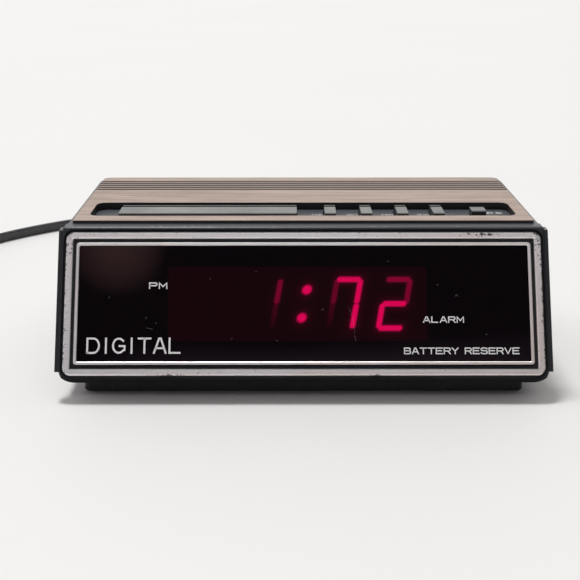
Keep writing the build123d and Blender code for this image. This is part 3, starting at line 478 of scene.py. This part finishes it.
def dress_all(nodes):
    """Materials of every CAD node that shows as it is."""
    keys = [name for name in nodes if name.endswith("_key")] + ["snooze_bar", "alarm_switch_knob"]
    screws = [name for name in nodes if name.endswith("_screws")]
    digits = [name for name in nodes if name.endswith("_digit")]
    contacts = [name for name in nodes if "contact" in name]
    black = moulded("case_plastic", (0.015, 0.015, 0.018), 0.38, dust_and_top_light=DUST_AND_TOP_LIGHT)
    dress(nodes, black, "upper_case", "lower_case", "battery_door")
    frame = moulded("frame_plastic", (0.011, 0.011, 0.014), 0.36, 0.8 * MM, DUST_AND_TOP_LIGHT)
    dress(nodes, frame, "front_frame")
    dress(nodes, wood_foil(), "wood_top_panel")
    dress(nodes, brushed_trim("outer_foil", True), "outer_trim")
    dress(nodes, brushed_trim("inner_foil", False), "inner_trim")
    dress(nodes, red_lens(), "lens")
    dress(nodes, key_plastic(), *keys)
    dress(nodes, moulded("carrier_plastic", (0.008, 0.006, 0.007), 0.6, 0.0), "display_mask")
    block = moulded("display_plastic", (0.060, 0.020, 0.024), 0.6, 0.0)
    dress(nodes, block, "display_reflector", "colon_dots", "indicator_dots", *digits)
    dress(nodes, circuit_board(), "display_board", "key_board", "main_board")
    dress(nodes, metal("plated_steel", STEEL, STEEL_ROUGHNESS), *screws)
    dress(nodes, metal("switch_shell", (0.55, 0.55, 0.56), 0.35), "slide_switch_body")
    dress(nodes, metal("iron_core", (0.20, 0.19, 0.18), 0.55), "transformer_core")
    dress(nodes, metal("blade_brass", (0.72, 0.60, 0.34), 0.25), "plug_blades")
    dress(nodes, metal("label_foil", (0.60, 0.60, 0.60), 0.40), "rating_plate")
    rubber = moulded("soft_rubber", (0.02, 0.02, 0.02), 0.75, 0.3 * MM)
    dress(nodes, rubber, "rubber_feet", "battery_snap", *contacts)
    epoxy = moulded("chip_epoxy", (0.02, 0.02, 0.02), 0.5)
    dress(nodes, epoxy, "clock_chip", "diodes", "sounder")
    dress(nodes, moulded("sleeve_blue", (0.03, 0.08, 0.22), 0.3), "capacitors")
    dress(nodes, moulded("resistor_lacquer", (0.55, 0.40, 0.22), 0.35), "resistors")
    dress(nodes, moulded("winding_tape", (0.62, 0.48, 0.12), 0.4), "transformer_coil")
    dress(nodes, moulded("battery_jacket", (0.05, 0.07, 0.10), 0.3), "backup_battery")
    dress(nodes, moulded("ribbon_vinyl", (0.35, 0.35, 0.37), 0.45), "display_ribbon", "key_ribbon")
    dress(nodes, cord_finish(), "strain_relief", "plug_body")


# ---- shared mesh work --------------------------------------------------------------------------
def placed(name, data):
    """A new object of a mesh, curve, light or camera, linked into the scene."""
    obj = bpy.data.objects.new(name, data)
    bpy.context.scene.collection.objects.link(obj)
    return obj


def mesh_object(name, points, faces, material):
    """A new mesh, from points in metres."""
    mesh = bpy.data.meshes.new(name)
    mesh.from_pydata(points, [], faces)
    mesh.materials.append(material)
    return placed(name, mesh)


def piece(name, points, faces, material, body="case"):
    """A new mesh piece that rides on a body."""
    obj = mesh_object(name, points, faces, material)
    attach(obj, body)
    return obj


def face_matrix():
    """From flat drawing (x right, y up, z out, in millimetres) to the clock's leaning face."""
    lean = math.radians(90 - LEAN)
    place = Matrix.Translation(Vector(FACE_MID) * MM)
    return place @ Matrix.Rotation(lean, 4, "X") @ Matrix.Scale(MM, 4)


def on_face(points):
    """Points of the flat drawing, placed on the clock's face."""
    matrix = face_matrix()
    return [matrix @ Vector(point) for point in points]


# ---- display lights ----------------------------------------------------------------------------
def segment_places():
    """Middle, half length along its line, and whether upright, of each segment of a digit."""
    side, quarter = (DIGIT_WIDTH - SEGMENT) / 2, (DIGIT_HEIGHT - SEGMENT) / 4
    flat, tall = side - SEGMENT_GAP, quarter - SEGMENT_GAP
    return {
        "a": (0, 2 * quarter, flat, False),
        "b": (side, quarter, tall, True),
        "c": (side, -quarter, tall, True),
        "d": (0, -2 * quarter, flat, False),
        "e": (-side, -quarter, tall, True),
        "f": (-side, quarter, tall, True),
        "g": (0, 0, flat, False),
    }


def falloff(away, half):
    """Brightness at a distance from a light's middle line: a soft-edged core in a wide, weak halo."""
    core = 1 - smooth((away - CORE_EDGE * half) / (CORE_EDGE * half))
    halo = HALO_LEVEL * math.exp(-max(away - half, 0) / HALO_REACH)
    return core + (1 - core) * halo


def smooth(share):
    """0 to 1 with a gentle start and end, held outside that range."""
    share = min(max(share, 0.0), 1.0)
    return share * share * (3 - 2 * share)


def digit_glow(x, y, lights):
    """Light at a point in a digit's own upright frame."""
    level = 0.0
    for letter, (mid_x, mid_y, half, tall) in segment_places().items():
        lit = lights.get(letter, 0.0)
        if not lit:
            continue
        along, across = (y - mid_y, x - mid_x) if tall else (x - mid_x, y - mid_y)
        away = math.hypot(max(abs(along) - half, 0), across)
        if lit < FAINT:
            lit *= min(max(1 + y / (DIGIT_HEIGHT / 2), 0), 1)
        level = max(level, lit * falloff(away, SEGMENT / 2))
    return level


def film_glow(x, y):
    """Light at a point of the film in front of the whole display."""
    upright_x = x - (y - DIGIT_SHIFT) * math.tan(math.radians(DIGIT_SLANT))
    y -= DIGIT_SHIFT
    level = FILM_GLOW
    for mid_x, lights in ((HOUR_ONES_X, HOUR_LIGHTS), (MINUTE_TENS_X, MINUTE_TENS_LIGHTS),
                          (MINUTE_ONES_X, MINUTE_ONES_LIGHTS)):
        if abs(upright_x - mid_x) < DIGIT_WIDTH:
            level += digit_glow(upright_x - mid_x, y, lights)
    for side in (1, -1):
        away = math.hypot(upright_x - COLON_X, y - side * COLON_RISE)
        level += falloff(away, COLON_RADIUS) if away < COLON_REACH else 0
    return level


def display_film(material):
    """The smoked film over the display, lit from behind by the segments."""
    columns, rows = round(MODULE_WIDTH / FILM_STEP), round(MODULE_HEIGHT / FILM_STEP)
    points, levels = [], []
    for row in range(rows + 1):
        y = DIGIT_SHIFT - MODULE_HEIGHT / 2 + MODULE_HEIGHT * row / rows
        for column in range(columns + 1):
            x = MODULE_MID_X - MODULE_WIDTH / 2 + MODULE_WIDTH * column / columns
            points.append((x, y, FILM_FRONT))
            levels.append(film_glow(x, y))
    wide = columns + 1
    faces = [
        (row * wide + k, row * wide + k + 1, (row + 1) * wide + k + 1, (row + 1) * wide + k)
        for row in range(rows) for k in range(columns)
    ]
    film = piece("display_film", on_face(points), faces, material)
    lit = film.data.attributes.new("lit", "FLOAT", "POINT")
    lit.data.foreach_set("value", levels)


# ---- lettering ---------------------------------------------------------------------------------
def arc(x, y, wide, high, start, end):
    """Points round a part of an ellipse, angles in degrees, anticlockwise from its right."""
    steps = 10
    angles = [math.radians(start + (end - start) * step / steps) for step in range(steps + 1)]
    return [(x + wide * math.cos(angle), y + high * math.sin(angle)) for angle in angles]


LETTER_GRID = 4
LETTER_GAP, NARROW_STEP, NARROW_INSET = 1.3, 2.2, 0.9      # narrow: the letter I and a space
INK_LIFT, MARK_LIFT = 0.03, 0.02           # millimetres proud of the surface under them
MITRE_LIMIT = 0.6                          # keeps the outer corner of a sharp bend from running out

BOWL = [(0, 0), (0, 4), *arc(3.0, 2.95, 1.0, 1.05, 90, -90), (0, 1.9)]

# Each letter's strokes on a grid 4 wide and 4 high.
LETTERS = {
    "A": [[(0, 0), (1.7, 4), (2.3, 4), (4, 0)], [(0.65, 1.3), (3.35, 1.3)]],
    "B": [[(0, 0), (0, 4), *arc(2.9, 3.05, 0.95, 0.95, 90, -90), (0, 2.1)],
          [(2.6, 2.1), *arc(2.9, 1.05, 1.1, 1.05, 90, -90), (0, 0)]],
    "D": [[(0, 0), (0, 4), *arc(2.1, 2, 1.9, 2, 90, -90), (0, 0)]],
    "E": [[(4, 4), (0, 4), (0, 0), (4, 0)], [(0, 2.1), (3.5, 2.1)]],
    "F": [[(4, 4), (0, 4), (0, 0)], [(0, 2.1), (3.3, 2.1)]],
    "G": [[*arc(2, 2, 2, 2, 42, 318), (4, 0.8), (4, 1.9), (2.3, 1.9)]],
    "I": [[(2, 0), (2, 4)]],
    "L": [[(0, 4), (0, 0), (3.5, 0)]],
    "M": [[(0, 0), (0, 4), (2, 1.2), (4, 4), (4, 0)]],
    "N": [[(0, 0), (0, 4), (4, 0), (4, 4)]],
    "O": [[*arc(2, 2, 2, 2, 0, 360)]],
    "P": [BOWL],
    "R": [BOWL, [(2.4, 1.9), (4, 0)]],
    "S": [[*arc(3.0, 3.05, 1.0, 0.95, 15, 90), *arc(1.0, 3.05, 1.0, 0.95, 90, 270),
           *arc(3.0, 1.05, 1.0, 1.05, 90, -90), *arc(1.0, 0.95, 1.0, 0.95, 270, 195)]],
    "T": [[(0, 4), (4, 4)], [(2, 4), (2, 0)]],
    "V": [[(0, 4), (2, 0), (4, 4)]],
    "W": [[(0, 4), (1, 0), (2, 3), (3, 0), (4, 4)]],
    "Y": [[(0, 4), (2, 1.9), (4, 4)], [(2, 1.9), (2, 0)]],
}


def stroke(points, faces, line, half, lift):
    """Adds a flat ribbon along a line of points, mitred at its corners."""
    count = len(line)
    start = len(points)
    for k, at in enumerate(line):
        before, after = line[max(k - 1, 0)], line[min(k + 1, count - 1)]
        arriving, leaving = (at - before).normalized(), (after - at).normalized()
        along = (arriving + leaving).normalized()
        steer = arriving if k else leaving
        across = Vector((-along.y, along.x)) * half / max(along.dot(steer), MITRE_LIMIT)
        end = steer * half * ((k == count - 1) - (k == 0))
        for side in (1, -1):
            point = at + across * side + end
            points.append((point.x, point.y, lift))
    faces.extend([start + 2 * k, start + 2 * k + 1, start + 2 * k + 3, start + 2 * k + 2]
                 for k in range(count - 1))


def lettering(name, word, left, base, width, height, thick, lift, material, matrix):
    """A word drawn in strokes, from its left end and base line, fitted to a width."""
    points, faces = [], []
    advance = [(NARROW_STEP if letter in " I" else LETTER_GRID) + LETTER_GAP for letter in word]
    scale = width / (sum(advance) - LETTER_GAP)
    x = left
    for letter, step in zip(word, advance):
        inset = NARROW_INSET if letter == "I" else 0.0
        for line in LETTERS.get(letter, []):
            drawn = [
                Vector((x + (px - inset) * scale, base + py * height / LETTER_GRID)) for px, py in line
            ]
            stroke(points, faces, drawn, thick / 2, lift)
        x += step * scale
    return piece(name, [matrix @ Vector(point) for point in points], faces, material)


# Each word's left end, base line, width, height and line thickness.
LENS_WORDS = {
    "DIGITAL": (-84.0, -19.1, 36.4, 5.6, 0.74),
    "PM": (-60.3, 6.3, 6.7, 2.1, 0.50),
    "ALARM": (46.6, -7.2, 15.6, 2.1, 0.44),
    "BATTERY RESERVE": (39.0, -19.5, 44.4, 2.2, 0.44),
}
KEY_MARKS = {
    "OFF ON": (77.0, -3.6, 6.8, 2.8, 0.42),
    "TIME": (3.6, -6.2, 4.6, 1.9, 0.26),
    "SET": (18.6, -6.2, 4.6, 1.9, 0.26),
    "FAST": (33.3, -6.2, 4.6, 1.9, 0.26),
    "SLOW": (48.2, -6.2, 4.6, 1.9, 0.26),
}


def all_lettering():
    """Generic words on the lens and small marks in the key recess."""
    recess = Matrix.Translation((0, 0, WELL_FLOOR_Z * MM)) @ Matrix.Scale(MM, 4)
    white = printed("white_ink", (0.93, 0.93, 0.92))
    grey = printed("grey_ink", (0.62, 0.62, 0.62))
    for kind, words, lift, ink, matrix in (
        ("word", LENS_WORDS, LENS_FRONT + INK_LIFT, white, face_matrix()),
        ("mark", KEY_MARKS, INK_LIFT, grey, recess),
    ):
        for word, places in words.items():
            name = f"{kind}_{word.lower().replace(' ', '_')}"
            lettering(name, word, *places, lift, ink, matrix)


# Dust and scratches on the lens: across, up, length, turn in degrees and thickness.
LENS_MARKS = (
    (-60.0, -9.6, 2.6, -12, 0.07), (-61.4, -5.4, 0.9, 80, 0.07), (-57.4, -7.4, 0.8, 70, 0.07),
    (7.2, -2.0, 1.2, 50, 0.08), (7.6, -2.2, 0.9, 130, 0.08), (18.2, -3.0, 3.4, 112, 0.05),
    (19.4, -8.4, 6.0, 96, 0.05), (20.0, -13.4, 2.4, 105, 0.07), (-28.0, -13.6, 0.9, 40, 0.08),
    (-10.4, -14.4, 0.8, 150, 0.10), (59.5, 3.4, 1.1, 45, 0.10), (60.1, 3.3, 0.8, 130, 0.10),
    (52.4, 7.6, 0.6, 20, 0.12), (-18.6, 13.0, 0.6, 10, 0.12), (-36.6, 10.0, 0.5, 60, 0.12),
    (71.0, -12.0, 0.7, 35, 0.10), (-76.0, 2.6, 0.6, 85, 0.10), (33.0, 17.0, 0.7, 15, 0.10),
)

# Nicks along the frame's top edge: middle and length.
FRAME_NICKS = (
    (-60, 1.6), (-56.5, 0.8), (-47, 1.2), (-43.6, 2.2), (-40.8, 0.7), (-37.4, 1.4),
    (27.5, 2.4), (32.4, 0.9), (-12, 0.8), (61, 1.0),
)
NICK_HALF, NICK_START_Y, NICK_END_Y = 0.09, DECK_FRONT_Y + 0.75, DECK_FRONT_Y + 0.7


def specks():
    """A few dust specks and hairline scratches on the lens, and nicks on the frame's top edge."""
    dust = printed("dust", (0.20, 0.19, 0.19))
    nick = printed("bare_nick", (0.60, 0.62, 0.64))
    points, faces = [], []
    for x, y, length, turn, thick in LENS_MARKS:
        middle, half = Vector((x, y)), Vector((length / 2, 0))
        half.rotate(Matrix.Rotation(math.radians(turn), 2))
        stroke(points, faces, [middle - half, middle + half], thick / 2, LENS_FRONT + MARK_LIFT)
    piece("lens_dust", on_face(points), faces, dust)
    points, faces = [], []
    for x, length in FRAME_NICKS:
        ends = [Vector((x - length / 2, NICK_START_Y)), Vector((x + length / 2, NICK_END_Y))]
        stroke(points, faces, ends, NICK_HALF, DECK_Z + MARK_LIFT)
    piece("frame_nicks", [Vector(point) * MM for point in points], faces, nick)


# ---- springs -----------------------------------------------------------------------------------
def coil(points, faces, x, y, low, high):
    """Adds one round-wire coil spring that reaches from low to high, all in metres."""
    steps, corners = 24, 8
    start, wire = len(points), SPRING_WIRE * MM / 2
    rise = (high - low - 2 * wire) / (SPRING_TURNS * steps)
    up = Vector((0, 0, 1))
    for step in range(SPRING_TURNS * steps + 1):
        angle = math.tau * step / steps
        out = Vector((math.cos(angle), math.sin(angle), 0))
        middle = Vector((x, y, low + wire + rise * step)) + out * SPRING_RADIUS * MM
        for corner in range(corners):
            turn = math.tau * corner / corners
            points.append(middle + (out * math.cos(turn) + up * math.sin(turn)) * wire)
            if step:
                last, this = start + (step - 1) * corners, start + step * corners
                after = (corner + 1) % corners
                faces.append([last + corner, this + corner, this + after, last + after])
    faces.append(list(range(start, start + corners)))
    faces.append(list(range(len(points) - corners, len(points)))[::-1])


def return_springs(nodes, steel):
    """Coiled return springs in place of the rigid ones, which it hides."""
    for name in [name for name in nodes if "spring" in name]:
        low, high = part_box(name)
        reach = (SPRING_RADIUS + SPRING_WIRE / 2) * MM
        y = (low[1] + high[1]) / 2
        points, faces = [], []
        # One spring under a key, or one near each end of a bar.
        for x in sorted({round(low[0] + reach, 5), round(high[0] - reach, 5)}):
            coil(points, faces, x, y, low[2], high[2])
        wires = piece(f"{name}_wire", points, faces, steel)
        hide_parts(name)
        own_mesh(wires)


# ---- cord --------------------------------------------------------------------------------------
def coil_points():
    """The coil's turns: inwards over the table, then back outwards on top of them."""
    points = []
    lower = [(radius, 0) for radius in COIL_COLUMNS]
    spots = lower + [(radius, 1) for radius in reversed(COIL_COLUMNS)]
    steps = round(COIL_TURNS * COIL_STEPS)
    for step in range(2, steps + 1):       # the route's last point stands for the first two steps
        turn = step / COIL_STEPS
        whole = int(turn)
        ease = smooth((turn % 1.0 - COIL_HOLD) / COIL_SHIFT)
        (radius, layer), (next_radius, next_layer) = spots[whole:whole + 2]
        radius += (next_radius - radius) * ease
        layer += (next_layer - layer) * ease
        angle = math.radians(COIL_START - 360 * turn)
        points.append((
            COIL_MID[0] + radius * math.cos(angle),
            COIL_MID[1] + radius * math.sin(angle),
            CORD_LIE_Z + COIL_LAYER * layer,
        ))
    return points


def cord_line():
    """The cord's smooth centre line, in metres, read from a spline through its whole route."""
    route = [*CORD_ROUTE, *coil_points(), *CORD_TAIL]
    curve = bpy.data.curves.new("cord_line", "CURVE")
    curve.dimensions = "3D"
    curve.resolution_u = 6
    spline = curve.splines.new("NURBS")
    spline.points.add(len(route) - 1)
    for point, place in zip(spline.points, route):
        point.co = (*(Vector(place) * MM), 1)
    spline.order_u = 3
    spline.use_endpoint_u = True
    guide = placed("cord_line", curve)
    bpy.context.view_layer.update()
    mesh = bpy.data.meshes.new_from_object(guide)
    line = [vertex.co.copy() for vertex in mesh.vertices]
    bpy.data.objects.remove(guide)
    bpy.data.meshes.remove(mesh)
    return line


def cord_section():
    """Outline of a flat two-conductor cord: two round lobes with a shallow waist, (wide, thick)."""
    lobe, sweep, steps, waist = CORD_THICK / 2, 100, 9, 0.62
    middle = CORD_WIDE / 2 - lobe
    outline = []
    for side in (1, -1):
        for step in range(steps):
            angle = math.radians(-sweep + 2 * sweep * step / (steps - 1))
            outline.append((side * (middle + lobe * math.cos(angle)), side * lobe * math.sin(angle)))
        outline.append((0, side * lobe * waist))
    return outline


def mains_cord():
    """The flat cord on its edge along its line, in place of the CAD cord, which it hides."""
    line = cord_line()
    outline = cord_section()
    count = len(outline)
    points, faces = [], []
    for k, at in enumerate(line):
        along = (line[min(k + 1, len(line) - 1)] - line[max(k - 1, 0)]).normalized()
        thick = along.cross(Vector((0, 0, 1))).normalized()
        wide = thick.cross(along).normalized()
        points.extend(at + (wide * w + thick * t) * MM for w, t in outline)
        if k:
            low, high = (k - 1) * count, k * count
            for n in range(count):
                after = (n + 1) % count
                faces.append([low + n, low + after, high + after, high + n])
    faces.append(list(range(count))[::-1])
    faces.append([len(points) - count + n for n in range(count)])
    cord = piece("mains_cord", points, faces, cord_finish())
    for polygon in cord.data.polygons:
        polygon.use_smooth = len(polygon.vertices) == 4
    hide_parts("cord_run", "cord_coil", "cord_tail")
    return cord, line


# ---- scene -------------------------------------------------------------------------------------
def camera():
    """The photograph's view, from in front and above."""
    data = bpy.data.cameras.new("camera")
    data.sensor_width, data.lens = CAMERA_SENSOR, CAMERA_LENS
    data.clip_start, data.clip_end = CAMERA_NEAR, CAMERA_FAR
    obj = placed("camera", data)
    obj.location = Vector(CAMERA_AT) * MM
    obj.rotation_euler = Euler((math.radians(90 - CAMERA_DOWN), 0, math.radians(-CAMERA_RIGHT)))
    bpy.context.scene.camera = obj


def overhead():
    """The broad soft light above and a little behind the clock."""
    data = bpy.data.lights.new("overhead", "SUN")
    data.energy = SUN_POWER
    data.angle = math.radians(SUN_WIDE)
    obj = placed("overhead", data)
    obj.rotation_euler = Vector(SUN_FROM).to_track_quat("Z", "Y").to_euler()


def room():
    """The light that comes from each direction: a pale room behind, a dark one in front."""
    world = bpy.data.worlds.new("room")
    bpy.context.scene.world = world
    world.use_nodes = True
    sky = Nodes(world.node_tree)
    direction = sky.node("ShaderNodeTexCoord").outputs["Generated"]
    part = sky.axes(direction)
    behind = sky.ramp(part["Y"], *BEHIND_Y_BLEND)
    in_front = sky.maths("SUBTRACT", 1.0, behind)
    rear = sky.maths(
        "ADD", sky.ramp(part["X"], *RIGHT_X_BLEND, ROOM_BEHIND, ROOM_RIGHT),
        sky.ramp(part["X"], *LEFT_X_BLEND, ROOM_LEFT, 0),
    )
    high = sky.ramp(part["Z"], *PANEL_Z_START)
    low = sky.ramp(part["Z"], *SKIRTING_Z_END, 1, 0)
    front = front_room(sky, part, high, low)
    strength = sky.maths(
        "ADD", sky.maths("MULTIPLY", behind, rear), sky.maths("MULTIPLY", in_front, front))
    warm, grey = mirrored_lights(sky, direction, part["Z"])
    strength = sky.maths("ADD", strength, sky.maths("ADD", warm, grey))
    pale = sky.maths("MAXIMUM", sky.maths("MAXIMUM", behind, low), high)
    shade = sky.mix(pale, DARK_TINT, PALE_TINT)
    background = sky.nodes["Background"]
    sky.link(sky.mix(sky.ramp(warm, 0, 0.15), shade, WARM_TINT), background.inputs["Color"])
    sky.link(strength, background.inputs["Strength"])


def front_room(sky, part, high, low):
    """The dark room with its wall at the far left, its pale band low down and its high panel."""
    panel = sky.maths("MULTIPLY", high, sky.ramp(part["Z"], *PANEL_Z_END, 1, PANEL_SPILL))
    wide = sky.ramp(sky.maths("ABSOLUTE", part["X"]), *PANEL_X_END, FRONT_PANEL, PANEL_SPILL)
    wall = sky.ramp(part["X"], *LEFT_WALL_X_BLEND, LEFT_WALL, FRONT_LOW)
    skirting = sky.maths("MULTIPLY", low, SKIRTING)
    return sky.maths("ADD", sky.maths("ADD", wall, skirting), sky.maths("MULTIPLY", panel, wide))


def mirrored_lights(sky, direction, height):
    """What the lens mirrors from the dark front: a warm lamp, upper left, and a dim grey edge."""
    warm = sky.ramp(towards(sky, direction, WARM_AIM), *WARM_NEAR, 0, WARM_POWER)
    near = sky.ramp(towards(sky, direction, GREY_AIM), *GREY_NEAR)
    grey = sky.maths("MULTIPLY", sky.ramp(height, *GREY_Z_END, GREY_POWER, 0), near)
    return warm, grey


def towards(sky, direction, aim):
    """How nearly a direction points at an aim: the cosine of the angle between them."""
    node = sky.node("ShaderNodeVectorMath", operation="DOT_PRODUCT")
    sky.link(direction, node.inputs[0])
    node.inputs[1].default_value = Vector(aim).normalized()
    return node.outputs["Value"]


def floor():
    """One plain square under everything."""
    signs = ((-1, -1), (1, -1), (1, 1), (-1, 1))
    corners = [(x * FLOOR_REACH, y * FLOOR_REACH, 0) for x, y in signs]
    obj = mesh_object("floor", corners, [(0, 1, 2, 3)], floor_finish())


def main():
    """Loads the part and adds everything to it."""
    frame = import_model()
    nodes = frame["nodes"]
    bpy.context.scene.view_settings.view_transform = "Standard"
    camera()
    room()
    floor()
    overhead()
    cord, line = mains_cord()
    dress_all(nodes)
    return_springs(nodes, metal("spring_steel", STEEL, STEEL_ROUGHNESS))
    display_film(led_light())
    all_lettering()
    specks()


main()
